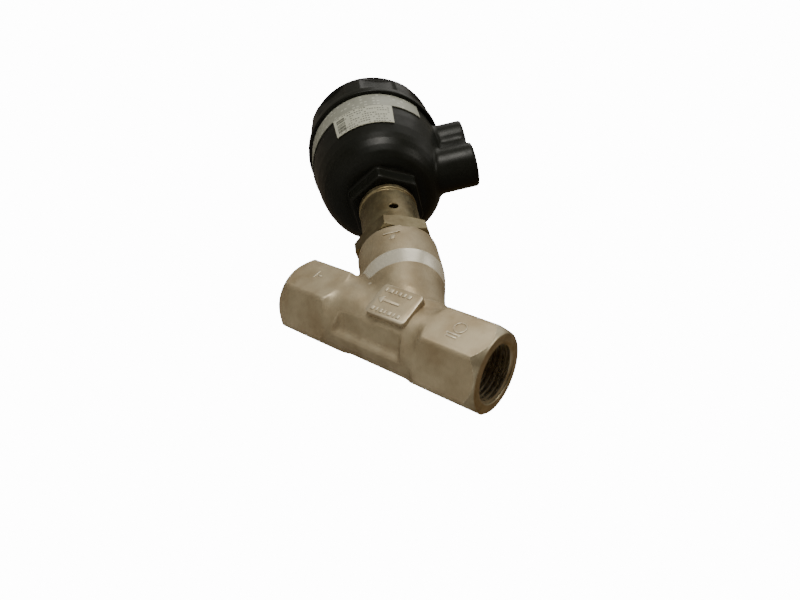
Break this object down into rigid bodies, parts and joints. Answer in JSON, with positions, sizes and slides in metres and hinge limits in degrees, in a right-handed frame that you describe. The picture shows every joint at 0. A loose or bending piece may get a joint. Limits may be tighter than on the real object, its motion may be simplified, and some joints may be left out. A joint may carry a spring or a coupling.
{
  "type": "pneumatic angle-seat valve",
  "caption": "Two-way angle-seat valve with threaded ends, a leaning spindle and a spring-closing pneumatic piston actuator with pilot ports.",
  "frame": {"origin": "on the pipe axis, half way between the two threaded end faces", "axes": "+X along the pipe towards the inlet end, +Z towards the side the actuator stands on; the actuator axis lies in XZ and leans 45 degrees towards the outlet at -X"},
  "size_m": [0.1683, 0.068, 0.1522],
  "materials": {
    "cast_steel": "bead-blasted warm grey stainless casting, with one bright turned band",
    "turned_steel": "fine turned stainless steel",
    "spring_steel": "drawn stainless spring wire",
    "black_plastic": "satin black glass-filled polyamide",
    "grey_plastic": "moulded grey engineering plastic",
    "red_plastic": "glossy signal red plastic",
    "clear_plastic": "clear moulded plastic",
    "ptfe": "waxy white PTFE",
    "black_rubber": "matt black elastomer",
    "graphite": "pressed graphite sheet",
    "brass_bush": "turned bearing bronze",
    "brass_insert": "turned brass",
    "grey_label": "printed grey foil label",
    "white_label": "printed pale foil label"
  },
  "bodies": {
    "pipe_body": {"valve_body": "cast_steel", "bonnet": "turned_steel", "body_gasket": "graphite", "gland_screw": "turned_steel", "packing_pressure_ring": "turned_steel", "packing_v_ring_1": "ptfe", "packing_v_ring_2": "ptfe", "packing_v_ring_3": "ptfe", "packing_support_ring": "turned_steel", "packing_spring": "spring_steel", "guide_bush": "brass_bush", "spindle_lip_seal": "black_rubber", "seal_retainer": "turned_steel", "neck_o_ring": "black_rubber", "neck_retaining_ring": "spring_steel"},
    "actuator": {"lower_housing": "black_plastic", "pilot_insert_1": "brass_insert", "pilot_insert_2": "brass_insert", "cover": "black_plastic", "cover_o_ring": "black_rubber", "outer_spring": "spring_steel", "inner_spring": "spring_steel", "indicator_cap": "clear_plastic", "cap_o_ring": "black_rubber", "label_band": "grey_label", "type_label": "white_label"},
    "spindle_assembly": {"spindle": "turned_steel", "piston": "grey_plastic", "piston_lip_seal": "black_rubber", "piston_guide_ring": "ptfe", "piston_o_ring": "black_rubber", "piston_washer": "turned_steel", "piston_nut": "turned_steel", "plug": "turned_steel", "plug_pin": "spring_steel", "plug_seal": "ptfe", "plug_washer": "turned_steel", "plug_nut": "turned_steel", "position_indicator": "red_plastic"}
  },
  "joints": [
    {"name": "actuator_swivel", "type": "hinge", "parent": "pipe_body", "child": "actuator", "pos_m": [0.0108, 0, 0], "axis": [-0.7071, 0, 0.7071], "continuous": true},
    {"name": "spindle_stroke", "type": "slide", "parent": "actuator", "child": "spindle_assembly", "axis": [-0.7071, 0, 0.7071], "range_m": [0, 0.01], "stiffness_N_per_m": 3000, "springref_m": -0.012, "deforming": ["outer_spring", "inner_spring"]}
  ]
}
